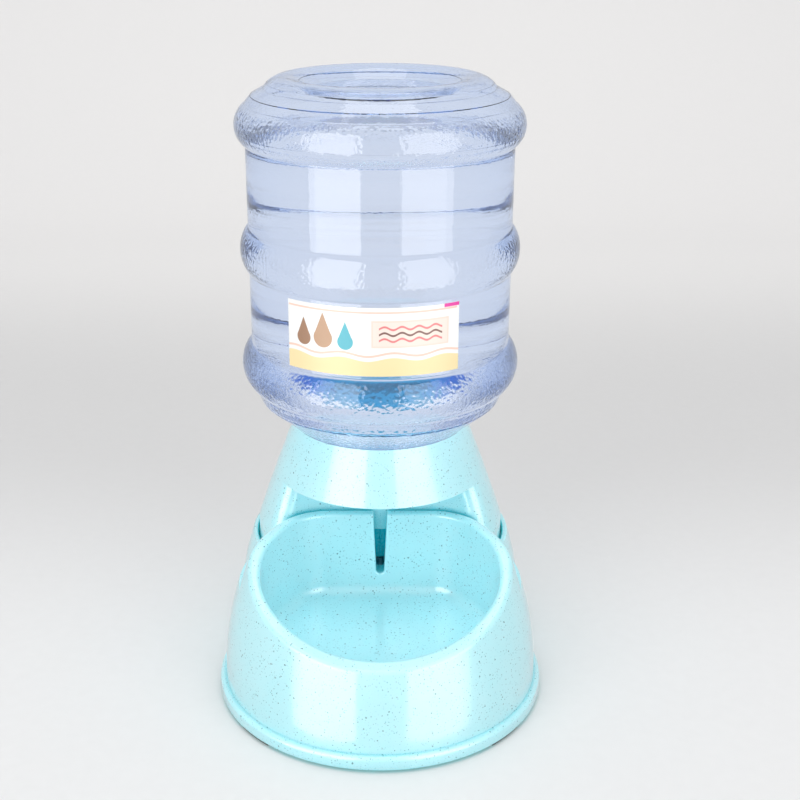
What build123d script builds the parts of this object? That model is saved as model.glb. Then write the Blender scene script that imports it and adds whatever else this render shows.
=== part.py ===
from build123d import *
import math
import os

# Gravity-fed water fountain for pets: a tray with a bowl, a bell-shaped dome
# behind the bowl, and an inverted bottle whose valved cap opens on a post.
# Millimetres, +Z up, origin on the floor under the middle of the base.
# Names ending in _z are heights above the floor.

# Plan of the base: two round lobes, the bowl in front and the dome behind
lobe_spacing = 72.0
flange_r = 99.2
flange_width = 3.7
flange_top_z = 9.8
flange_round = 2.4
rear_lobe_inset = 2.4
foot_height = 2.0
flank_sweep_r = 190.0
tray_wall = 2.5

# Bowl and its rim, which climbs from the front and levels out at the back
rim_front_z = 61.0
rim_back_z = 94.5
rim_slope_deg = 19.8
rim_knee_r = 60.0
rim_lip = 7.6
rim_outer_round = 3.2
rim_inner_round = 2.2
bowl_inner_inset = 24.7
bowl_inner_set = 8.5
bowl_floor_z = 40.0
bowl_floor_round = 8.0
bowl_draft_deg = 5.0
back_set = 27.6
back_flat_inset = 67.5
back_corner_r = 36.0
back_turn_deg = 59.0
flank_corner_r = 16.0
flank_blend_r = 45.0

# Water slot in the bowl's back wall
slot_top_width = 8.8
slot_foot_width = 5.0
slot_foot_z = 54.0
slot_lead_round = 1.2

# Rear of the tray: deck, upstand around the dome, well and valve post
deck_z = 62.0
upstand_top_z = 70.0
upstand_gap = 1.0
upstand_round = 1.1
well_r = 27.0
post_r = 2.8
post_web = 2.0
post_web_reach = 10.0
post_web_z = 50.0
post_entry = 0.7

# Dome
dome_wall = 2.4
skirt_inset = 17.7
skirt_top_z = 80.0
bell_mid_inset = 9.6
bell_mid_z = 108.0
bell_top_inset = 24.3
bell_top_land = 4.3
visor_z = 113.6
gate_side = 10.3
gate_top_z = 80.0
recess_gap = 0.6
recess_turn_deg = 76.0
recess_side_round = 9.0
dome_foot_gap = 0.3
seat_gap = 0.3

# Bottle, standing on its neck
bottle_r = 80.0
bottle_wall = 1.3
bottle_top_z = 361.0
punt_depth = 8.0
punt_floor_r = 43.0
punt_r = 47.5
punt_edge_drop = 2.8
crest_r = 55.0
crest_edge_r = 66.5
crest_edge_drop = 3.8
step_r = 68.6
step_drop = 6.4
top_shoulder_r = 76.2
top_shoulder_drop = 10.6
upper_ring_z = 333.6
upper_ring_half = 12.0
upper_ring_rise = 6.2
middle_ring_z = 259.5
middle_ring_half = 14.0
middle_ring_rise = 5.1
lower_ring_z = 186.8
lower_ring_half = 14.6
lower_ring_rise = 6.1
lower_tier_top_r = 78.4
lower_tier_r = 75.2
lower_tier_z = 164.1
tier_round = 4.0
shoulder_foot_r = 22.0
shoulder_foot_z = 119.0
neck_root_drop = 4.0
neck_joint_drop = 3.0
neck_r = 18.5
thread_rise = 1.1
thread_width = 1.8
thread_pitch = 5.0
thread_first = 3.0
thread_ribs = 3

# Cap and valve
mouth_z = 57.0
cap_wall = 1.8
cap_height = 23.0
cap_floor = 2.6
cap_round = 1.0
cap_grips = 36
cap_grip_r = 0.7
port_r = 6.0
seat_rise = 1.0
seat_width = 1.2
gasket_height = 2.3
gasket_gap = 0.2
thread_gap = 0.5
cage_gap = 0.7
cage_ring = 5.0
cage_ring_height = 2.4
cage_legs = 3
cage_leg_r = 1.5
cage_height = 24.0
cage_plate = 2.0
cage_windows = 3
cage_window_r = 3.4
cage_window_place_r = 10.0
valve_open = 5.0
stem_gap = 0.3
stem_r = 2.3
head_r = 9.0
head_height = 2.0
seal_height = 2.4
guide_gap = 0.3
spring_wire = 0.9
spring_r = 5.6
spring_turns = 5
spring_end_gap = 0.05

# Label on the lower panel, turned left and right of the bottle's front
label_foot_z = 203.2
label_height = 40.6
label_left_deg = 41.0
label_right_deg = 34.0
label_thickness = 0.25
label_gap = 0.05

# Rubber pads under the flange
pad_deg = 14.0
pad_place_deg = 48.5
pad_width = 5.0

# Shares that tell edges and faces apart: how upright, level, sideways or far out they are
steep_share = 0.5
wall_share = 0.2
side_share = 0.9
wide_share = 0.75
slope_margin = 0.01

# Places that follow from the sizes above
rear_flange_r = flange_r - rear_lobe_inset
base_length = lobe_spacing + flange_r + rear_flange_r
bottle_y = base_length / 2 - rear_flange_r
bowl_y = bottle_y - lobe_spacing
bowl_inner_y = bowl_y - bowl_inner_set
bowl_inner_r = flange_r - bowl_inner_inset
back_half_flat = flange_r - back_flat_inset
gate_half_width = back_half_flat + gate_side
lobe_r = flange_r - flange_width
rear_lobe_r = lobe_r - rear_lobe_inset
skirt_r = rear_flange_r - skirt_inset
bell_mid_r = skirt_r - bell_mid_inset
bell_top_r = skirt_r - bell_top_inset
dome_mouth_r = bell_top_r - bell_top_land
upstand_r = skirt_r + upstand_gap
bottle_axis = Axis((0, bottle_y, 0), (0, 0, 1))
far = 2 * base_length
beyond = 1.0
neck_end_z = mouth_z + cap_floor + gasket_height + gasket_gap
neck_joint_z = shoulder_foot_z - neck_root_drop - neck_joint_drop
shoulder_rise = (lower_tier_z - shoulder_foot_z) / (lower_tier_r - shoulder_foot_r)
cap_floor_z = mouth_z + cap_floor
cap_bore_r = neck_r + thread_rise + thread_gap
cage_r = neck_r - bottle_wall - cage_gap
cage_top_z = cap_floor_z + cage_height
stem_tip_z = mouth_z + post_entry + stem_gap
seal_z = cap_floor_z + seat_rise + valve_open
head_z = seal_z + seal_height


def upright(y, turn_deg=90.0):
    """Upright plane through the axis at this y: local x is radius, local y is height.

    A turn of 0 faces the front of the object, and positive turns go to its right.
    """
    turn = math.radians(turn_deg)
    return Plane(
        origin=(0, y, 0),
        x_dir=(math.sin(turn), -math.cos(turn), 0),
        z_dir=(-math.cos(turn), -math.sin(turn), 0),
    )


def shoulder_z(radius):
    """Height of the bottle's cone-shaped shoulder at a radius."""
    return shoulder_foot_z + (radius - shoulder_foot_r) * shoulder_rise


bell_top_z = shoulder_z(bell_top_r) + seat_gap


def flank_r(foot_r, z):
    """Radius of a lobe's wall, which leans in along a large arc above its flange."""
    climb = z - flange_top_z
    return foot_r - (flank_sweep_r - math.sqrt(flank_sweep_r**2 - climb**2))


def rim_z(y):
    """Height of the sloping part of the rim at a distance along the base."""
    front_y = bowl_inner_y - bowl_inner_r
    return rim_front_z + (y - front_y) * math.tan(math.radians(rim_slope_deg))


def lobe(y, foot_r, top_z, foot_z=foot_height):
    """Solid round lobe whose wall follows the flank arc above the flange height."""
    middle_z = (flange_top_z + top_z) / 2
    with BuildPart() as body:
        with BuildSketch(upright(y, 180)):
            with BuildLine():
                ThreePointArc(
                    (foot_r, flange_top_z),
                    (flank_r(foot_r, middle_z), middle_z),
                    (flank_r(foot_r, top_z), top_z),
                )
                Polyline(
                    (flank_r(foot_r, top_z), top_z),
                    (0, top_z),
                    (0, foot_z),
                    (foot_r, foot_z),
                    (foot_r, flange_top_z),
                )
            make_face()
        revolve(axis=Axis((0, y, 0), (0, 0, 1)))
    return body.part


def flange(y, radius):
    """Round foot flange with a rounded upper edge."""
    with BuildPart() as body:
        with BuildSketch(Plane((0, y, foot_height))):
            Circle(radius)
        extrude(amount=flange_top_z - foot_height)
        fillet(body.edges().sort_by(Axis.Z)[-1], flange_round)
    return body.part


def back_outline(grow, turn_deg=back_turn_deg):
    """Plan area ahead of the line behind the bowl, moved out from the bowl by grow."""
    turn = math.radians(turn_deg)
    corner_r = back_corner_r + grow
    apex_x = back_half_flat + corner_r * math.tan(turn / 2)
    apex_y = bottle_y - back_set + grow
    wing_x = apex_x + flange_r * math.cos(turn)
    wing_y = apex_y - flange_r * math.sin(turn)
    with BuildSketch() as outline:
        with BuildLine():
            Polyline(
                (-apex_x, apex_y),
                (apex_x, apex_y),
                (wing_x, wing_y),
                (wing_x, -far),
                (-wing_x, -far),
                (-wing_x, wing_y),
                close=True,
            )
        make_face()
        fillet(outline.vertices().group_by(Axis.Y)[-1], corner_r)
    return outline.sketch


def bowl_outline(inset):
    """Plan outline of the bowl's inside at the back rim's height, drawn in by inset."""
    with BuildSketch() as outline:
        with Locations((0, bowl_inner_y)):
            Circle(bowl_inner_r - inset)
        add(back_outline(-rim_lip - inset), mode=Mode.INTERSECT)
        flank_ends = outline.vertices().sort_by(lambda v: abs(v.X))[-2:]
        fillet(flank_ends, flank_blend_r)
    return outline.sketch


def bowl_plug(grow):
    """Solid that fills the bowl, with its drafted wall and floor moved out by grow."""
    floor_z = bowl_floor_z - grow
    top_z = rim_back_z + beyond
    draft = (top_z - floor_z) * math.tan(math.radians(bowl_draft_deg))
    with BuildPart() as plug:
        with BuildSketch(Plane.XY.offset(floor_z)):
            add(bowl_outline(draft - grow))
        extrude(amount=top_z - floor_z, taper=-bowl_draft_deg)
        fillet(plug.edges().group_by(Axis.Z)[0], bowl_floor_round + grow)
    return plug.part


def above_rim(drop):
    """Everything above the rim's surface, which is lowered by drop."""
    start_y = bowl_y - flange_r - beyond
    knee_y = (rim_back_z - rim_z(0)) / math.tan(math.radians(rim_slope_deg))
    with BuildPart() as body:
        with BuildSketch(Plane.YZ) as side:
            with BuildLine():
                Polyline(
                    (start_y, rim_z(start_y) - drop),
                    (knee_y, rim_back_z - drop),
                    (far, rim_back_z - drop),
                    (far, bottle_top_z),
                    (start_y, bottle_top_z),
                    close=True,
                )
            make_face()
            knee = side.vertices().sort_by(lambda v: abs(v.X - knee_y))[0]
            fillet(knee, rim_knee_r)
        extrude(amount=far, both=True)
    return body.part


def behind_bowl(grow, foot_z):
    """Everything behind the back outline above a height."""
    with BuildPart() as body:
        with BuildSketch(Plane.XY.offset(foot_z)):
            Rectangle(far, 2 * far)
            add(back_outline(grow), mode=Mode.SUBTRACT)
        extrude(amount=bottle_top_z)
    return body.part


def steep_edges(body):
    """Edges that run more up than across."""
    return body.edges().filter_by(lambda e: abs(e.tangent_at(0.5).Z) > steep_share)


def level_faces(body):
    """Faces of the rim's surface: the slope, the knee and the level part at the back."""
    steepest = math.cos(math.radians(rim_slope_deg)) - slope_margin
    upward = body.faces().filter_by(lambda f: f.normal_at().Z > steepest)
    return upward.filter_by(lambda f: f.center().Z > upstand_top_z + beyond)


# Bowl body up to its rim, before it is hollowed
with BuildPart() as bowl_body:
    add(lobe(bowl_y, lobe_r, rim_back_z + 2 * tray_wall))
    add(behind_bowl(0, upstand_top_z), mode=Mode.SUBTRACT)
    add(above_rim(0), mode=Mode.SUBTRACT)
    fillet(steep_edges(bowl_body).filter_by(GeomType.BSPLINE), flank_corner_r)
    rim_faces = level_faces(bowl_body)
    ahead_of_back = bottle_y - back_set - beyond
    outer_edges = []
    for edge in rim_faces.edges():
        runs_across = edge.geom_type == GeomType.LINE and edge.length > lobe_r
        if not (runs_across and edge.center().Y < ahead_of_back) and edge not in outer_edges:
            outer_edges.append(edge)
    fillet(outer_edges, rim_outer_round)
    with BuildSketch(Plane.XY.offset(deck_z)):
        with Locations((0, bottle_y)):
            Circle(upstand_r)
        add(back_outline(0), mode=Mode.SUBTRACT)
    extrude(amount=bottle_top_z, mode=Mode.SUBTRACT)

# Space under the tray: inside the lobes, outside the bowl, the well and the slot
with BuildPart() as underside:
    add(lobe(bowl_y, lobe_r - tray_wall, rim_back_z, foot_z=0))
    add(behind_bowl(-tray_wall, deck_z - tray_wall), mode=Mode.SUBTRACT)
    add(above_rim(tray_wall), mode=Mode.SUBTRACT)
    add(lobe(bottle_y, rear_lobe_r - tray_wall, deck_z - tray_wall, foot_z=0))
    add(bowl_plug(tray_wall), mode=Mode.SUBTRACT)
    with BuildSketch(Plane((0, bottle_y, bowl_floor_z - tray_wall))):
        Circle(well_r + tray_wall)
    extrude(amount=deck_z, mode=Mode.SUBTRACT)
    with BuildSketch(Plane((0, bottle_y - back_set, bowl_floor_z - tray_wall))):
        Rectangle(slot_top_width + 2 * tray_wall, 2 * rim_lip + 2 * tray_wall)
    extrude(amount=bottle_top_z, mode=Mode.SUBTRACT)

# Tray
with BuildPart() as tray:
    add(bowl_body.part)
    add(flange(bowl_y, flange_r))
    add(lobe(bottle_y, rear_lobe_r, deck_z))
    add(flange(bottle_y, rear_flange_r))
    with BuildSketch(upright(bottle_y)) as upstand_profile:
        with BuildLine():
            Polyline(
                (flank_r(rear_lobe_r, deck_z), deck_z),
                (flank_r(rear_lobe_r, upstand_top_z), upstand_top_z),
                (upstand_r, upstand_top_z),
                (upstand_r, deck_z - beyond),
                (flank_r(rear_lobe_r, deck_z), deck_z - beyond),
                close=True,
            )
        make_face()
        fillet(upstand_profile.vertices().group_by(Axis.Y)[-1], upstand_round)
    revolve(axis=bottle_axis)
    add(bowl_plug(0), mode=Mode.SUBTRACT)
    rim_faces = level_faces(tray)
    walls = tray.faces().filter_by(lambda f: abs(f.normal_at().Z) < wall_share)
    wall_edges = walls.edges()
    fillet([edge for edge in rim_faces.edges() if edge in wall_edges], rim_inner_round)
    add(underside.part, mode=Mode.SUBTRACT)
    with BuildSketch(Plane((0, bottle_y, bowl_floor_z))):
        Circle(well_r)
    extrude(amount=deck_z - bowl_floor_z + beyond, mode=Mode.SUBTRACT)
    with BuildSketch(Plane((0, bottle_y, bowl_floor_z))):
        Circle(post_r)
    extrude(amount=mouth_z + post_entry - bowl_floor_z)
    with BuildSketch(Plane((0, bottle_y, bowl_floor_z))):
        Rectangle(2 * post_web_reach, post_web)
        Rectangle(post_web, 2 * post_web_reach)
    extrude(amount=post_web_z - bowl_floor_z)
    slot_start_y = bottle_y - back_set + beyond
    with BuildSketch(Plane((0, slot_start_y, 0), x_dir=(1, 0, 0), z_dir=(0, -1, 0))):
        foot_r = slot_foot_width / 2
        with BuildLine():
            ThreePointArc(
                (-foot_r, slot_foot_z + foot_r),
                (0, slot_foot_z),
                (foot_r, slot_foot_z + foot_r),
            )
            Polyline(
                (foot_r, slot_foot_z + foot_r),
                (slot_top_width / 2, rim_back_z + beyond),
                (-slot_top_width / 2, rim_back_z + beyond),
                (-foot_r, slot_foot_z + foot_r),
            )
        make_face()
    extrude(amount=2 * rim_lip, mode=Mode.SUBTRACT)
    side_walls = tray.faces().filter_by(lambda f: abs(f.normal_at().X) > side_share)
    slot_sides = side_walls.filter_by(lambda f: abs(f.center().X) < slot_top_width)
    back_wall_y = bottle_y - back_set - rim_lip
    lead_edges = slot_sides.edges().filter_by(
        lambda e: abs(e.center().Y - back_wall_y) < slot_lead_round + beyond
    )
    fillet(lead_edges, slot_lead_round)
tray.part.label = "tray"


def recess_sides(body):
    """Upright edges where the dome's front recess meets its bell."""
    wide = steep_edges(body).filter_by(lambda e: abs(e.center().X) > bell_mid_r * wide_share)
    return wide.filter_by(lambda e: e.center().Y < bottle_y - back_set)


# Dome
with BuildPart() as dome_core:
    with BuildSketch(upright(bottle_y, 180)):
        with BuildLine():
            ceiling_z = shoulder_z(dome_mouth_r) - seat_gap - dome_wall
            foot_z = deck_z + dome_foot_gap
            ThreePointArc(
                (skirt_r - dome_wall, skirt_top_z),
                (bell_mid_r - dome_wall, bell_mid_z),
                (bell_top_r - dome_wall, bell_top_z),
            )
            Polyline(
                (bell_top_r - dome_wall, bell_top_z),
                (0, bell_top_z),
                (0, foot_z - beyond),
                (skirt_r - dome_wall, foot_z - beyond),
                (skirt_r - dome_wall, skirt_top_z),
            )
        make_face()
    revolve(axis=bottle_axis)
    with BuildSketch(Plane((0, bottle_y, ceiling_z))):
        Circle(bell_mid_r)
    extrude(amount=bell_top_z, mode=Mode.SUBTRACT)
    with BuildSketch(Plane.XY):
        add(back_outline(recess_gap + dome_wall, recess_turn_deg))
    extrude(amount=visor_z + dome_wall, mode=Mode.SUBTRACT)
    fillet(recess_sides(dome_core), recess_side_round - dome_wall)

with BuildPart() as dome:
    with BuildSketch(upright(bottle_y, 180)):
        with BuildLine():
            ThreePointArc((skirt_r, skirt_top_z), (bell_mid_r, bell_mid_z), (bell_top_r, bell_top_z))
            Polyline(
                (bell_top_r, bell_top_z),
                (0, bell_top_z),
                (0, foot_z),
                (skirt_r, foot_z),
                (skirt_r, skirt_top_z),
            )
        make_face()
    revolve(axis=bottle_axis)
    with BuildSketch(Plane.XY):
        add(back_outline(recess_gap, recess_turn_deg))
    extrude(amount=visor_z, mode=Mode.SUBTRACT)
    fillet(recess_sides(dome), recess_side_round)
    add(dome_core.part, mode=Mode.SUBTRACT)
    with BuildSketch(upright(bottle_y)):
        with BuildLine():
            Polyline(
                (0, ceiling_z - beyond),
                (dome_mouth_r, ceiling_z - beyond),
                (dome_mouth_r, shoulder_z(dome_mouth_r) - seat_gap),
                (lower_tier_r, lower_tier_z - seat_gap),
                (0, lower_tier_z - seat_gap),
                close=True,
            )
        make_face()
    revolve(axis=bottle_axis, mode=Mode.SUBTRACT)
    with BuildSketch(Plane((0, bottle_y - back_set, 0))):
        Rectangle(2 * gate_half_width, 2 * gate_half_width)
    extrude(amount=gate_top_z, mode=Mode.SUBTRACT)
dome.part.label = "dome"

# Bottle, drawn whole and then parted into its body and its neck
with BuildPart() as whole_bottle:
    with BuildSketch(upright(bottle_y)) as wall:
        with BuildLine():
            crest_z = bottle_top_z
            Polyline(
                (0, neck_end_z),
                (0, crest_z - punt_depth),
                (punt_floor_r, crest_z - punt_depth),
                (punt_r, crest_z - punt_edge_drop),
            )
            ThreePointArc(
                (punt_r, crest_z - punt_edge_drop),
                (crest_r, crest_z),
                (crest_edge_r, crest_z - crest_edge_drop),
            )
            Polyline(
                (crest_edge_r, crest_z - crest_edge_drop),
                (step_r, crest_z - step_drop),
                (top_shoulder_r, crest_z - top_shoulder_drop),
                (bottle_r, upper_ring_z + upper_ring_half),
            )
            middle_top_z = middle_ring_z + middle_ring_half
            lower_top_z = lower_ring_z + lower_ring_half
            for mid_z, half, rise, foot_r, below_r, below_z in (
                (upper_ring_z, upper_ring_half, upper_ring_rise, bottle_r, bottle_r, middle_top_z),
                (middle_ring_z, middle_ring_half, middle_ring_rise, bottle_r, bottle_r, lower_top_z),
                (
                    lower_ring_z,
                    lower_ring_half,
                    lower_ring_rise,
                    lower_tier_top_r,
                    lower_tier_r,
                    lower_tier_z,
                ),
            ):
                ThreePointArc(
                    (bottle_r, mid_z + half),
                    (bottle_r + rise, mid_z),
                    (foot_r, mid_z - half),
                )
                Line((foot_r, mid_z - half), (below_r, below_z))
            Polyline(
                (lower_tier_r, lower_tier_z),
                (shoulder_foot_r, shoulder_foot_z),
                (neck_r, shoulder_foot_z - neck_root_drop),
                (neck_r, neck_end_z),
                (0, neck_end_z),
            )
        make_face()
        to_tier = wall.vertices().sort_by(lambda v: math.hypot(v.X - lower_tier_r, v.Y - lower_tier_z))
        fillet(to_tier[0], tier_round)
        mirror(about=Plane.YZ)
        offset(amount=-bottle_wall, mode=Mode.SUBTRACT)
        with Locations((0, neck_end_z)):
            Rectangle(2 * (neck_r - bottle_wall), 4 * bottle_wall, mode=Mode.SUBTRACT)
        Rectangle(far, far * 2, align=(Align.MAX, Align.CENTER), mode=Mode.SUBTRACT)
    revolve(axis=bottle_axis)
    with BuildSketch(upright(bottle_y)):
        for rib in range(thread_ribs):
            rib_z = neck_end_z + thread_first + rib * thread_pitch
            with Locations((neck_r - thread_rise, rib_z)):
                Rectangle(2 * thread_rise, thread_width, align=(Align.MIN, Align.MIN))
    revolve(axis=bottle_axis)

with BuildPart() as bottle:
    add(whole_bottle.part)
    split(bisect_by=Plane.XY.offset(neck_joint_z), keep=Keep.TOP)
bottle.part.label = "bottle"

with BuildPart() as bottle_neck:
    add(whole_bottle.part)
    split(bisect_by=Plane.XY.offset(neck_joint_z), keep=Keep.BOTTOM)
bottle_neck.part.label = "bottle_neck"

# Label, a thin printed skin around the front of the lower panel
with BuildPart() as label:
    with BuildSketch(upright(bottle_y, -label_left_deg)):
        with Locations((bottle_r + label_gap, label_foot_z)):
            Rectangle(label_thickness, label_height, align=(Align.MIN, Align.MIN))
    revolve(axis=bottle_axis, revolution_arc=label_left_deg + label_right_deg)
label.part.label = "label"

# Screw cap with its thread ribs, grips, water port and valve seat
with BuildPart() as cap:
    with BuildSketch(Plane((0, bottle_y, mouth_z))):
        Circle(cap_bore_r + cap_wall)
    extrude(amount=cap_height)
    fillet(cap.edges().sort_by(Axis.Z)[0], cap_round)
    with BuildSketch(Plane((0, bottle_y, cap_floor_z))):
        Circle(cap_bore_r)
    extrude(amount=cap_height, mode=Mode.SUBTRACT)
    with BuildSketch(Plane((0, bottle_y, cap_floor_z))):
        Circle(port_r + seat_width)
    extrude(amount=seat_rise)
    with BuildSketch(Plane((0, bottle_y, mouth_z))):
        Circle(port_r)
    extrude(amount=cap_height, mode=Mode.SUBTRACT)
    with BuildSketch(Plane((0, bottle_y, mouth_z + 2 * cap_round))):
        with PolarLocations(cap_bore_r + cap_wall, cap_grips):
            Circle(cap_grip_r)
    extrude(amount=cap_height - 3 * cap_round)
    with BuildSketch(upright(bottle_y)):
        for rib in range(thread_ribs - 1):
            rib_z = neck_end_z + thread_first + (rib + 0.5) * thread_pitch
            with Locations((neck_r + thread_gap, rib_z)):
                Rectangle(2 * thread_rise, thread_width, align=(Align.MIN, Align.MIN))
    revolve(axis=bottle_axis)
cap.part.label = "cap"

# Gasket between the cap's floor and the bottle's mouth
with BuildPart() as cap_gasket:
    with BuildSketch(Plane((0, bottle_y, cap_floor_z))):
        Circle(cap_bore_r - gasket_gap)
        Circle(cage_r + gasket_gap, mode=Mode.SUBTRACT)
    extrude(amount=gasket_height)
cap_gasket.part.label = "cap_gasket"

# Cage that stands on the cap's floor, guides the stem and holds the spring's upper end
with BuildPart() as valve_cage:
    with BuildSketch(Plane((0, bottle_y, cap_floor_z))):
        Circle(cage_r)
        Circle(cage_r - cage_ring, mode=Mode.SUBTRACT)
    extrude(amount=cage_ring_height)
    with BuildSketch(Plane((0, bottle_y, cap_floor_z))):
        with PolarLocations(cage_r - cage_ring / 2, cage_legs):
            Circle(cage_leg_r)
    extrude(amount=cage_height)
    with BuildSketch(Plane((0, bottle_y, cage_top_z - cage_plate))):
        Circle(cage_r)
        Circle(stem_r + guide_gap, mode=Mode.SUBTRACT)
        with PolarLocations(cage_window_place_r, cage_windows, start_angle=180 / cage_legs):
            Circle(cage_window_r, mode=Mode.SUBTRACT)
    extrude(amount=cage_plate)
valve_cage.part.label = "valve_cage"

# Plunger that the tray's post lifts; its long end runs through the cage
with BuildPart() as valve_stem:
    with BuildSketch(Plane((0, bottle_y, stem_tip_z))):
        Circle(stem_r)
    extrude(amount=cage_top_z + valve_open - stem_tip_z)
    fillet(valve_stem.edges().filter_by(GeomType.CIRCLE), stem_r / 4)
    with BuildSketch(Plane((0, bottle_y, head_z))):
        Circle(head_r)
    extrude(amount=head_height)
valve_stem.part.label = "valve_stem"

# Rubber disc under the plunger's head
with BuildPart() as valve_seal:
    with BuildSketch(Plane((0, bottle_y, seal_z))):
        Circle(head_r)
        Circle(stem_r, mode=Mode.SUBTRACT)
    extrude(amount=seal_height)
valve_seal.part.label = "valve_seal"

# Compression spring between the plunger's head and the cage
spring_foot_z = head_z + head_height + spring_wire / 2 + spring_end_gap
spring_head_z = cage_top_z - cage_plate - spring_wire / 2 - spring_end_gap
spring_pitch = (spring_head_z - spring_foot_z) / spring_turns
quarters = 4 * spring_turns


def spring_point(quarter):
    """Point on the spring's centre line after so many quarter turns."""
    turn = quarter * math.pi / 2
    return Vector(
        spring_r * math.cos(turn),
        bottle_y + spring_r * math.sin(turn),
        spring_foot_z + spring_pitch * quarter / 4,
    )


def spring_heading(quarter):
    """Direction of the spring's centre line there."""
    turn = quarter * math.pi / 2
    return Vector(
        -spring_r * math.sin(turn), spring_r * math.cos(turn), spring_pitch / (2 * math.pi)
    ).normalized()


with BuildPart() as valve_spring:
    with BuildLine() as coil:
        for quarter in range(quarters):
            start = spring_point(quarter)
            end = spring_point(quarter + 1)
            leave = spring_heading(quarter)
            arrive = spring_heading(quarter + 1)
            chord = end - start
            lean = chord.dot(leave + arrive)
            bend = 2 * (1 - leave.dot(arrive))
            reach = (math.sqrt(lean**2 + bend * chord.dot(chord)) - lean) / bend
            middle = (start + end + (leave - arrive) * reach) * 0.5
            through = (end - arrive * reach - (start + leave * reach)).normalized()
            TangentArc(start, middle, tangent=leave)
            TangentArc(middle, end, tangent=through)
    with BuildSketch(Plane(origin=spring_point(0), z_dir=spring_heading(0))):
        Circle(spring_wire / 2)
    sweep(path=coil.wires()[0])
valve_spring.part.label = "valve_spring"

# Least gap of the spring to itself, measured between points at least half a turn apart
quarter_steps = 12
coil_steps = quarters * quarter_steps
coil_points = [coil.line @ (step / coil_steps) for step in range(coil_steps + 1)]
least = min(
    (coil_points[i] - coil_points[j]).length
    for i in range(len(coil_points))
    for j in range(i + 2 * quarter_steps, len(coil_points))
)
print("spring: least gap to itself", round(least - spring_wire, 2), "mm")


def foot_pad(y, wall_r, place_deg):
    """Rubber pad under the flange, an arc of its round outline."""
    with BuildPart() as pad:
        with BuildSketch(upright(y, place_deg - pad_deg / 2)):
            with Locations((wall_r + flange_width - flange_round / 2, 0)):
                Rectangle(pad_width, foot_height, align=(Align.MAX, Align.MIN))
        revolve(axis=Axis((0, y, 0), (0, 0, 1)), revolution_arc=pad_deg)
    return pad.part


feet = {
    "foot_front_left": foot_pad(bowl_y, lobe_r, -pad_place_deg),
    "foot_front_right": foot_pad(bowl_y, lobe_r, pad_place_deg),
    "foot_rear_left": foot_pad(bottle_y, rear_lobe_r, 180 + pad_place_deg),
    "foot_rear_right": foot_pad(bottle_y, rear_lobe_r, 180 - pad_place_deg),
}

pieces = [tray, dome, bottle, bottle_neck, label, cap, cap_gasket]
pieces += [valve_cage, valve_stem, valve_seal, valve_spring]
os.makedirs("parts", exist_ok=True)
for piece in pieces:
    export_step(piece.part, f"parts/{piece.part.label}.step")
for name, pad in feet.items():
    pad.label = name
    export_step(pad, f"parts/{name}.step")
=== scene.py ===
import bpy
import math
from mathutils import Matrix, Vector


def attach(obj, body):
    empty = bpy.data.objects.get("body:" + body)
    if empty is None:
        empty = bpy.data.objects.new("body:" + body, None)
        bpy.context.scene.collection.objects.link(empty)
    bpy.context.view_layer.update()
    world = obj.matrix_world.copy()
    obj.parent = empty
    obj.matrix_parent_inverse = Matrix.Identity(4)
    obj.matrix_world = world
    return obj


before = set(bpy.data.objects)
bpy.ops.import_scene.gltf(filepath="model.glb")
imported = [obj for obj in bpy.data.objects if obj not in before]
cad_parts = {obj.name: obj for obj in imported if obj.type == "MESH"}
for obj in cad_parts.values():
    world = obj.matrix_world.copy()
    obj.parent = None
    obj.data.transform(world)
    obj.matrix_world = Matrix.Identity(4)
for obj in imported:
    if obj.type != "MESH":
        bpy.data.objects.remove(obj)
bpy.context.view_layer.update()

# Places taken from the sizes of the part, in metres
bottle_y = 0.0372
bottle_r = 0.080
label_foot_z = 0.2032
label_height = 0.0406
slot_y = -0.0098
slot_foot_z = 0.052
slot_half_width = 0.0060
slot_half_depth = 0.0056

# Water, from its surface down to its foot in the neck. It keeps the inset from the bottle's outer
# face; the margin keeps other points of its outline off the surface and the foot.
water_top_z = 0.3300
water_foot_z = 0.0900
water_inset = 0.0011
water_margin = 0.0010
neck_r = 0.0185

# The tall soft lights share one height and one middle
lamp_height = 2.8
lamp_middle_z = 0.5

# The grey of what lies behind everything
SHOWN_GREY = (0.89, 0.88, 0.88, 1)


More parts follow.
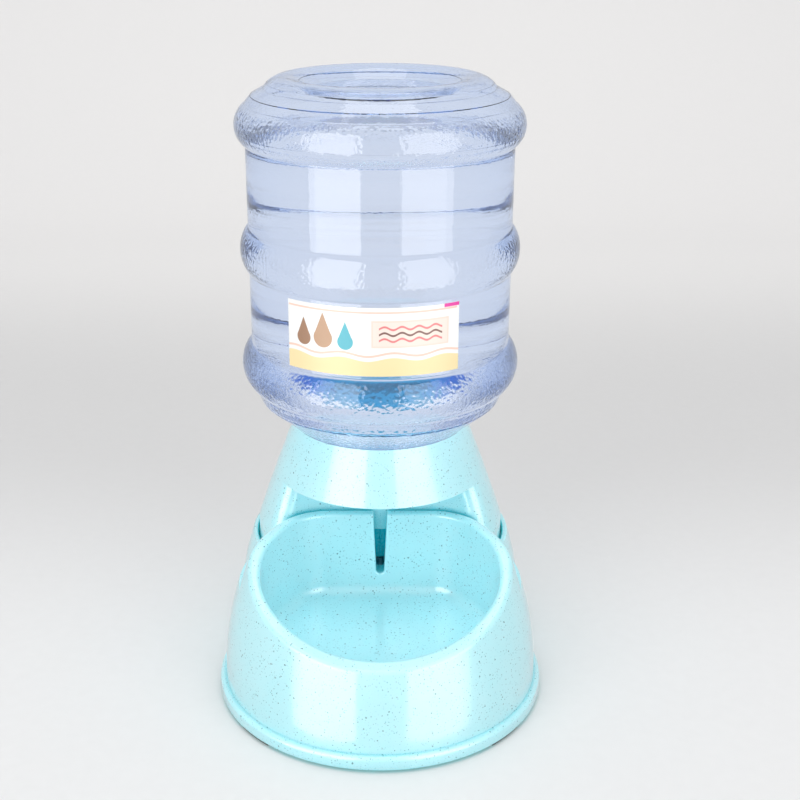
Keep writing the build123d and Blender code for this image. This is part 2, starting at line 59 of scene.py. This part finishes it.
class Nodes:
    """A material's node tree, with short calls for the nodes used here."""

    def __init__(self, name):
        self.material = bpy.data.materials.new(name)
        self.material.use_nodes = True
        self.tree = self.material.node_tree
        self.shader = self.tree.nodes["Principled BSDF"]
        self.output = self.tree.nodes["Material Output"]

    def new(self, kind, **settings):
        node = self.tree.nodes.new(kind)
        for key, value in settings.items():
            setattr(node, key, value)
        return node

    def feed(self, socket, value):
        """Link the socket to an output, or give it a constant."""
        if isinstance(value, bpy.types.NodeSocket):
            self.tree.links.new(value, socket)
        else:
            socket.default_value = value

    def set(self, **values):
        """Feed the shader's sockets; an underscore stands for a space in a socket's name."""
        for key, value in values.items():
            self.feed(self.shader.inputs[key.replace("_", " ")], value)

    def math(self, operation, first, second=0.0):
        node = self.new("ShaderNodeMath", operation=operation)
        self.feed(node.inputs[0], first)
        self.feed(node.inputs[1], second)
        return node.outputs[0]

    def product(self, first, *others):
        for other in others:
            first = self.math("MULTIPLY", first, other)
        return first

    def gap(self, first, second):
        """How far apart two values are."""
        return self.math("ABSOLUTE", self.math("SUBTRACT", first, second))

    def hypotenuse(self, first, second):
        squares = self.math("ADD", self.product(first, first), self.product(second, second))
        return self.math("SQRT", squares)

    def position(self):
        return self.new("ShaderNodeTexCoord").outputs["Object"]

    def split(self, vector):
        node = self.new("ShaderNodeSeparateXYZ")
        self.feed(node.inputs[0], vector)
        return node.outputs[0], node.outputs[1], node.outputs[2]

    def noise(self, vector, scale, detail=2.0, output="Fac"):
        node = self.new("ShaderNodeTexNoise")
        self.feed(node.inputs["Vector"], vector)
        node.inputs["Scale"].default_value = scale
        node.inputs["Detail"].default_value = detail
        return node.outputs[output]

    def cells(self, vector, scale, feature="F1"):
        node = self.new("ShaderNodeTexVoronoi", feature=feature)
        self.feed(node.inputs["Vector"], vector)
        node.inputs["Scale"].default_value = scale
        return node

    def open_share(self, distance, samples, inside=False):
        """1 where nothing is near, falling to 0 in a closed hollow."""
        node = self.new("ShaderNodeAmbientOcclusion", samples=samples, inside=inside)
        node.inputs["Distance"].default_value = distance
        return node.outputs["AO"]

    def remap(self, value, low, high, to_low=0.0, to_high=1.0, smooth=True):
        kind = "SMOOTHSTEP" if smooth else "LINEAR"
        node = self.new("ShaderNodeMapRange", interpolation_type=kind)
        for socket, item in zip(node.inputs, (value, low, high, to_low, to_high)):
            self.feed(socket, item)
        return node.outputs[0]

    def mix(self, factor, first, second):
        """Mix two colours; they are at sockets 6 and 7 of this node, and their mix at output 2."""
        node = self.new("ShaderNodeMix", data_type="RGBA")
        self.feed(node.inputs["Factor"], factor)
        self.feed(node.inputs[6], first)
        self.feed(node.inputs[7], second)
        return node.outputs[2]

    def bump(self, height, strength, distance):
        node = self.new("ShaderNodeBump")
        self.feed(node.inputs["Height"], height)
        self.feed(node.inputs["Strength"], strength)
        node.inputs["Distance"].default_value = distance
        self.feed(self.shader.inputs["Normal"], node.outputs[0])


def speckled_plastic():
    """Pale aqua moulded plastic with ground-in dark flecks of several sizes."""
    n = Nodes("aqua_speckled_plastic")
    place = n.position()
    tone = n.noise(place, 18.0, detail=3.0)
    colour = n.mix(n.remap(tone, 0.3, 0.7), (0.45, 0.83, 0.89, 1), (0.49, 0.86, 0.92, 1))

    # Flecks sit in some cells of a warped pattern, so that their outlines are ragged
    warp_size = 0.0009
    shift = n.new("ShaderNodeVectorMath", operation="MULTIPLY_ADD")
    n.feed(shift.inputs[0], n.noise(place, 900.0, output="Color"))
    n.feed(shift.inputs[1], (warp_size, warp_size, warp_size))
    n.feed(shift.inputs[2], place)
    warped = shift.outputs[0]
    for cell_scale, widest, share, tint in (
        (290.0, 0.170, 0.85, (0.020, 0.12, 0.15, 1)),
        (470.0, 0.220, 0.85, (0.05, 0.26, 0.30, 1)),
        (700.0, 0.260, 0.75, (0.14, 0.50, 0.56, 1)),
    ):
        cells = n.cells(warped, cell_scale)
        red, green, blue = n.split(cells.outputs["Color"])
        kept = n.math("LESS_THAN", red, share)
        radius = n.remap(green, 0.0, 1.0, widest * 0.45, widest, smooth=False)
        inside = n.remap(cells.outputs["Distance"], n.product(radius, 0.75), radius, 1.0, 0.0)
        depth = n.remap(blue, 0.0, 1.0, 0.55, 1.0, smooth=False)
        colour = n.mix(n.product(inside, kept, depth), colour, tint)

    # Painted shade: the plastic deepens to teal in narrow hollows, and a painted glow brightens it to
    # cyan in the closest ones
    open_share = n.open_share(0.016, samples=6)
    hollow_shade_and_glow = n.mix(n.remap(open_share, 0.04, 0.30), (0.0, 0.95, 1.0, 1), (0.0, 0.48, 0.56, 1))
    colour = n.mix(n.remap(open_share, 0.25, 0.60), hollow_shade_and_glow, colour)

    # Painted shade: what the slot in the bowl's back wall looks into is darker again
    x, y, z = n.split(place)
    in_width = n.remap(n.math("ABSOLUTE", x), slot_half_width + 0.0012, slot_half_width)
    in_depth = n.math("LESS_THAN", n.gap(y, slot_y), slot_half_depth)
    over_foot = n.math("GREATER_THAN", z, slot_foot_z)
    covered = n.remap(open_share, 0.98, 0.88)
    slot_shade = n.product(in_width, in_depth, over_foot, covered)

    grain = n.noise(place, 240.0, detail=4.0)
    n.set(Base_Color=n.mix(slot_shade, colour, (0.0, 0.26, 0.32, 1)))
    n.set(Roughness=n.remap(grain, 0.2, 0.8, 0.07, 0.13), IOR=1.5, Specular_IOR_Level=0.6)
    n.set(Subsurface_Weight=0.35, Subsurface_Radius=(0.35, 1.0, 1.0), Subsurface_Scale=0.004)
    n.set(Coat_Weight=1.0, Coat_Roughness=0.40, Coat_IOR=1.60)
    n.bump(n.noise(place, 70.0), 0.10, 0.0006)
    return n.material


def clear_plastic():
    """Blow-moulded bottle: blue-violet tint that deepens with thickness, rippled rings and shoulder."""
    n = Nodes("clear_blue_plastic")
    place = n.position()
    x, y, z = n.split(place)
    radius = n.hypotenuse(x, n.math("SUBTRACT", y, bottle_y))

    # Smooth panels, and a hammered face on the rings and on the shoulder
    on_ring = n.remap(radius, bottle_r + 0.0006, bottle_r + 0.0035)
    on_shoulder = n.remap(z, 0.178, 0.166)
    rippled = n.math("MAXIMUM", on_ring, on_shoulder)
    strength = n.math("ADD", n.product(rippled, 0.09), 0.010)
    hammered = n.cells(place, 480.0, feature="SMOOTH_F1").outputs["Distance"]
    ripple = n.noise(place, 190.0)
    n.bump(n.math("ADD", n.product(hammered, 0.8), ripple), strength, 0.0022)

    # Painted shade: a deep tint on the cone stands in for the dome's shaded mouth, only while the dome is
    # close around it
    shade_top_z = 0.164
    shade_r = 0.058
    shade_fade = 0.004
    in_height = n.remap(z, shade_top_z, shade_top_z - shade_fade)
    in_reach = n.remap(radius, shade_r, shade_r - shade_fade)
    dome_near = n.remap(n.open_share(0.06, samples=4, inside=True), 0.97, 0.60)
    dome_shade = n.product(in_height, in_reach, dome_near)
    aside = n.remap(n.math("ABSOLUTE", x), 0.016, 0.036)
    dome_shade_colour = n.mix(aside, (0.004, 0.36, 0.58, 1), (0.02, 0.15, 0.66, 1))

    n.set(Base_Color=n.mix(dome_shade, (0.96, 0.97, 1.0, 1), dome_shade_colour))
    n.set(Roughness=n.remap(ripple, 0.2, 0.8, 0.0, 0.03), IOR=1.5, Transmission_Weight=1.0)
    absorb = n.new("ShaderNodeVolumeAbsorption")
    n.feed(absorb.inputs["Color"], (0.10, 0.46, 0.95, 1))
    n.feed(absorb.inputs["Density"], 105.0)
    n.feed(n.output.inputs["Volume"], absorb.outputs[0])
    return n.material


def water_material():
    n = Nodes("still_water")
    n.set(Base_Color=(1.0, 1.0, 1.0, 1.0), Roughness=0.0, IOR=1.333, Transmission_Weight=1.0)
    n.bump(n.noise(n.position(), 60.0), 0.01, 0.001)
    return n.material


def label_material():
    """Printed film with a generic pattern of bands, waves and drops."""
    cream = (0.93, 0.92, 0.90, 1)
    sand = (0.93, 0.76, 0.42, 1)
    peach = (0.90, 0.62, 0.50, 1)
    box_edge = (0.93, 0.72, 0.62, 1)
    box_fill = (0.94, 0.78, 0.70, 1)
    brown = (0.36, 0.20, 0.12, 1)
    tan = (0.52, 0.32, 0.20, 1)
    teal = (0.10, 0.46, 0.55, 1)
    red = (0.78, 0.22, 0.22, 1)
    umber = (0.20, 0.09, 0.07, 1)
    magenta = (0.80, 0.05, 0.36, 1)
    line_half = 0.0006

    # Along and up are metres on the film: 0 is the bottle's front and the label's lower edge
    n = Nodes("label_film")
    place = n.position()
    x, y, z = n.split(place)
    ahead = n.math("SUBTRACT", bottle_y, y)
    along = n.product(n.math("ARCTAN2", x, ahead), bottle_r)
    up = n.math("SUBTRACT", z, label_foot_z)
    colour = cream

    def paint(mask, tint):
        nonlocal colour
        colour = n.mix(mask, colour, tint)

    def within(value, middle, half, soft=0.00012):
        return n.remap(n.gap(value, middle), half + soft, half - soft)

    def panel(left, right, low, high):
        wide = within(along, (left + right) / 2, (right - left) / 2)
        tall = within(up, (low + high) / 2, (high - low) / 2)
        return n.product(wide, tall)

    def drop(middle, foot, size):
        """A round foot of this radius with a straight-sided tip on it."""
        tip_top = size * 2.6
        across = n.gap(along, middle)
        rise = n.math("SUBTRACT", up, foot + size)
        ball = n.remap(n.hypotenuse(across, rise), size * 1.02, size * 0.98)
        width = n.product(n.math("SUBTRACT", tip_top, rise), 0.40)
        in_width = n.math("LESS_THAN", across, width)
        over_ball = n.math("GREATER_THAN", rise, size * 0.38)
        under_top = n.math("LESS_THAN", rise, tip_top)
        return n.math("MAXIMUM", ball, n.product(in_width, over_ball, under_top))

    def waves(pitch, height):
        return n.product(n.math("SINE", n.product(along, pitch)), height)

    level = n.math("SUBTRACT", up, waves(210.0, 0.0011))
    paint(n.remap(level, 0.0100, 0.0097), sand)
    paint(within(level, 0.0128, line_half), peach)
    paint(panel(-0.0565, 0.0460, 0.0372, 0.0382), peach)
    paint(panel(-0.0050, 0.0405, 0.0170, 0.0330), box_edge)
    paint(panel(-0.0040, 0.0395, 0.0180, 0.0320), box_fill)
    for middle, size, tint in ((-0.0460, 0.0046, brown), (-0.0335, 0.0058, tan), (-0.0200, 0.0046, teal)):
        paint(drop(middle, 0.0152, size), tint)
    rippled = n.math("SUBTRACT", up, waves(640.0, 0.0009))
    for row, tint in ((0.0285, red), (0.0250, umber), (0.0215, red)):
        line = within(rippled, row, line_half)
        paint(n.product(line, within(along, 0.0178, 0.0185)), tint)
    paint(panel(0.0375, 0.0475, 0.0385, label_height), magenta)

    grain = n.noise(place, 900.0, detail=3.0)
    n.set(Base_Color=colour, Roughness=n.remap(grain, 0.2, 0.8, 0.30, 0.40))
    n.bump(grain, 0.04, 0.0002)
    return n.material


def moulded(name, colour, other, rough):
    """Plain moulded piece: slight change of tone between two colours, fine grain."""
    n = Nodes(name)
    place = n.position()
    tone = n.noise(place, 60.0, detail=3.0)
    grain = n.noise(place, 600.0, detail=3.0)
    n.set(Base_Color=n.mix(n.remap(tone, 0.3, 0.7), colour, other))
    n.set(Roughness=n.remap(grain, 0.2, 0.8, rough - 0.06, rough + 0.06))
    n.bump(grain, 0.06, 0.0004)
    return n.material


def spring_steel():
    n = Nodes("drawn_wire")
    streak = n.noise(n.position(), 2400.0)
    n.set(Base_Color=n.mix(streak, (0.50, 0.51, 0.53, 1), (0.66, 0.67, 0.70, 1)), Metallic=1.0)
    n.set(Roughness=n.remap(streak, 0.2, 0.8, 0.22, 0.36))
    n.bump(streak, 0.05, 0.0002)
    return n.material


# Finish of each solid; clear pieces cast no shadow, because it would be far too dark
aqua = speckled_plastic()
rubber = moulded("black_rubber", (0.010, 0.010, 0.011, 1), (0.016, 0.016, 0.017, 1), 0.62)
silicone = moulded("grey_silicone", (0.42, 0.44, 0.47, 1), (0.50, 0.52, 0.55, 1), 0.48)
cap_plastic = moulded("teal_cap_plastic", (0.006, 0.66, 0.78, 1), (0.010, 0.70, 0.82, 1), 0.28)
stem_plastic = moulded("white_stem_plastic", (0.78, 0.80, 0.82, 1), (0.84, 0.86, 0.88, 1), 0.36)
clear = clear_plastic()
finishes = {
    "tray": aqua,
    "dome": aqua,
    "bottle": clear,
    "bottle_neck": clear,
    "label": label_material(),
    "cap": cap_plastic,
    "valve_cage": cap_plastic,
    "valve_stem": stem_plastic,
    "cap_gasket": silicone,
    "valve_seal": silicone,
    "valve_spring": spring_steel(),
    "foot_front_left": rubber,
    "foot_front_right": rubber,
    "foot_rear_left": rubber,
    "foot_rear_right": rubber,
}
for name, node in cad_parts.items():
    node.data.materials.clear()
    node.data.materials.append(finishes[name])
    node.visible_shadow = finishes[name] != clear


def revolved(name, profile):
    """Closed mesh turned about the bottle's axis; the profile runs from axis to axis."""
    sides = 192
    points = []
    for radius, height in profile[1:-1]:
        for side in range(sides):
            turn = 2 * math.pi * side / sides
            points.append((radius * math.cos(turn), bottle_y + radius * math.sin(turn), height))
    rows = len(profile) - 2
    faces = []
    for row in range(rows - 1):
        low = row * sides
        for side in range(sides):
            ahead = (side + 1) % sides
            faces.append((low + side, low + sides + side, low + sides + ahead, low + ahead))
    points.append((0, bottle_y, profile[0][1]))
    points.append((0, bottle_y, profile[-1][1]))
    last = (rows - 1) * sides
    for side in range(sides):
        ahead = (side + 1) % sides
        faces.append((len(points) - 2, side, ahead))
        faces.append((len(points) - 1, last + ahead, last + side))
    mesh = bpy.data.meshes.new(name)
    mesh.from_pydata(points, [], faces)
    mesh.validate()
    mesh.shade_smooth()
    piece = bpy.data.objects.new(name, mesh)
    bpy.context.scene.collection.objects.link(piece)
    return piece


def ring(middle_z, half, rise, upper_r, lower_r):
    """Points down a ring's outline, on the arc through its two ends and its crest."""
    steps = 14
    a = Vector((upper_r, middle_z + half))
    b = Vector((bottle_r + rise, middle_z))
    c = Vector((lower_r, middle_z - half))

    # The centre of the circle through a, b and c, by the usual formula with its divisor d
    d = 2 * (a.x * (b.y - c.y) + b.x * (c.y - a.y) + c.x * (a.y - b.y))
    centre_x = (a.dot(a) * (b.y - c.y) + b.dot(b) * (c.y - a.y) + c.dot(c) * (a.y - b.y)) / d
    centre_y = (a.dot(a) * (c.x - b.x) + b.dot(b) * (a.x - c.x) + c.dot(c) * (b.x - a.x)) / d
    radius = (a - Vector((centre_x, centre_y))).length
    start = math.atan2(a.y - centre_y, a.x - centre_x)
    end = math.atan2(c.y - centre_y, c.x - centre_x)
    points = []
    for i in range(steps + 1):
        turn = start + (end - start) * i / steps
        points.append((centre_x + radius * math.cos(turn), centre_y + radius * math.sin(turn)))
    return points


# Water in the bottle: the bottle's outline, rings and shoulder and neck, drawn in by the inset
outline = []
for middle_z, half, rise, lower_r in (
    (0.3336, 0.0120, 0.0062, bottle_r),
    (0.2595, 0.0140, 0.0051, bottle_r),
    (0.1868, 0.0146, 0.0061, 0.0784),
):
    outline += ring(middle_z, half, rise, bottle_r, lower_r)
outline += [(0.0755, 0.1670), (0.0740, 0.1637), (0.0716, 0.1611), (0.0220, 0.1190)]
outline += [(neck_r, 0.1150), (neck_r, water_foot_z)]
inner = []
for i, (radius, height) in enumerate(outline):
    before = Vector(outline[max(i - 1, 0)])
    after = Vector(outline[min(i + 1, len(outline) - 1)])
    step = (after - before).normalized()
    point = Vector((radius, height)) + Vector((step.y, -step.x)) * water_inset
    if water_foot_z + water_margin < point.y < water_top_z - water_margin:
        inner.append((point.x, point.y))
inner.append((neck_r - water_inset, water_foot_z))

# The surface has a tiny chamfer at the wall
top_r = inner[0][0]
profile = [(0, water_top_z), (top_r - 0.0004, water_top_z), (top_r, water_top_z - 0.0003)]
profile += inner + [(0, water_foot_z)]
water = revolved("water", profile)
water.data.materials.append(water_material())
water.visible_shadow = False
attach(water, "bottle")


def pale_paper():
    """Backdrop with painted light and shade: bright near the object, a little greyer behind it, bright
    again up the wall.
    """
    n = Nodes("pale_paper")
    place = n.position()
    x, y = n.split(place)[:2]
    grain = n.noise(place, 120.0, detail=4.0)
    near = n.mix(grain, (0.74, 0.735, 0.73, 1), (0.77, 0.765, 0.76, 1))
    middle = n.mix(grain, (0.63, 0.625, 0.62, 1), (0.65, 0.645, 0.64, 1))
    wall = n.mix(grain, (0.77, 0.76, 0.75, 1), (0.79, 0.78, 0.77, 1))
    tone = n.mix(n.remap(y, -0.05, 0.35), near, middle)
    n.set(Base_Color=n.mix(n.remap(y, 0.45, 1.0), tone, wall))
    n.set(Roughness=0.9, Specular_IOR_Level=0.1)

    # An even grey takes over at the sheet's far edges, and for most of what clear pieces let through
    kind = n.new("ShaderNodeLightPath")
    even = n.new("ShaderNodeEmission")
    n.feed(even.inputs["Color"], SHOWN_GREY)
    at_front = n.remap(y, -0.25, -0.60)
    at_sides = n.remap(n.math("ABSOLUTE", x), 0.9, 1.6)
    at_wall = n.remap(y, 0.6, 1.3, 0.0, 0.3)
    far = n.math("MAXIMUM", n.math("MAXIMUM", at_front, at_sides), at_wall)
    direct = n.product(kind.outputs["Is Camera Ray"], far)
    through = n.product(kind.outputs["Is Transmission Ray"], 0.9)
    blend = n.new("ShaderNodeMixShader")
    n.feed(blend.inputs[0], n.math("ADD", through, direct))
    n.feed(blend.inputs[1], n.shader.outputs[0])
    n.feed(blend.inputs[2], even.outputs[0])
    n.feed(n.output.inputs["Surface"], blend.outputs[0])
    return n.material


# Seamless sheet behind and under the object: floor, quarter-round bend, wall
bend_y = 1.10
bend_r = 0.55
bend_steps = 32
half_width = 2.4
run = [(-1.6, 0.0), (-0.8, 0.0), (0.0, 0.0), (0.7, 0.0)]
for step in range(bend_steps + 1):
    turn = math.radians(90 * step / bend_steps)
    run.append((bend_y + bend_r * math.sin(turn), bend_r - bend_r * math.cos(turn)))
run += [(1.65, 1.4), (1.65, 2.4)]
verts = [(side, y, z) for side in (-half_width, half_width) for y, z in run]
faces = [(i, i + 1, len(run) + i + 1, len(run) + i) for i in range(len(run) - 1)]
sheet = bpy.data.meshes.new("backdrop")
sheet.from_pydata(verts, [], faces)
sheet.shade_smooth()
backdrop = bpy.data.objects.new("backdrop", sheet)
bpy.context.scene.collection.objects.link(backdrop)
backdrop.data.materials.append(pale_paper())
backdrop.visible_glossy = False


def area_lamp(name, width, height, power):
    """Soft light that can't be seen, neither directly nor through clear pieces."""
    data = bpy.data.lights.new(name, "AREA")
    data.shape = "RECTANGLE"
    data.size = width
    data.size_y = height
    data.energy = power
    lamp = bpy.data.objects.new(name, data)
    lamp.visible_camera = False
    lamp.visible_transmission = False
    bpy.context.scene.collection.objects.link(lamp)
    return lamp


def softbox(name, turn_deg, distance, width, power):
    """Tall soft light that faces the object; 0 degrees is the camera's side, positive right."""
    lamp = area_lamp(name, width, lamp_height, power)
    turn = math.radians(turn_deg)
    lamp.location = (distance * math.sin(turn), bottle_y - distance * math.cos(turn), lamp_middle_z)
    lamp.rotation_euler = (math.radians(90), 0, turn)
    return lamp


# Two tall lamps light the object, and two more show only as bright strips on glossy faces
softbox("left_softbox", -35.0, 1.6, 1.15, 15.0)
softbox("right_softbox", 36.0, 1.6, 1.15, 10.5)
for name, turn_deg, power in (("left_gloss", -38.0, 33.0), ("right_gloss", 40.0, 27.0)):
    lamp = softbox(name, turn_deg, 1.59, 1.30, power)
    lamp.visible_diffuse = False
    lamp.visible_volume_scatter = False
top = area_lamp("top_light", 1.6, 1.6, 16.0)
top.location = (0, 0.1, 2.2)

# The world lights the scene softly, and is an even grey where it is looked at, also through clear pieces
world = bpy.data.worlds.new("studio")
bpy.context.scene.world = world
world.use_nodes = True
sky = world.node_tree
fill = sky.nodes["Background"]
fill.inputs["Color"].default_value = (0.97, 0.98, 1.0, 1)
fill.inputs["Strength"].default_value = 0.70
shown = sky.nodes.new("ShaderNodeBackground")
shown.inputs["Color"].default_value = SHOWN_GREY
ray = sky.nodes.new("ShaderNodeLightPath")
either = sky.nodes.new("ShaderNodeMath")
either.operation = "MAXIMUM"
sky.links.new(ray.outputs["Is Camera Ray"], either.inputs[0])
sky.links.new(ray.outputs["Is Transmission Ray"], either.inputs[1])
choice = sky.nodes.new("ShaderNodeMixShader")
sky.links.new(either.outputs[0], choice.inputs[0])
sky.links.new(fill.outputs[0], choice.inputs[1])
sky.links.new(shown.outputs[0], choice.inputs[2])
sky.links.new(choice.outputs[0], sky.nodes["World Output"].inputs["Surface"])

# Camera at the photograph's viewing angle and distance
look_down_deg = 21.09
camera_data = bpy.data.cameras.new("camera")
camera_data.sensor_width = 36.0
camera_data.lens = 59.25
camera_data.shift_x = 0.0248
camera = bpy.data.objects.new("camera", camera_data)
camera.location = (0.0, -0.7464, 0.4602)
camera.rotation_euler = (math.radians(90.0 - look_down_deg), 0.0, 0.0)
bpy.context.scene.collection.objects.link(camera)
bpy.context.scene.camera = camera
bpy.context.scene.view_settings.view_transform = "Standard"
bpy.context.scene.cycles.max_bounces = 28
bpy.context.scene.cycles.transmission_bounces = 28
bpy.context.scene.cycles.glossy_bounces = 12
bpy.context.scene.cycles.diffuse_bounces = 6
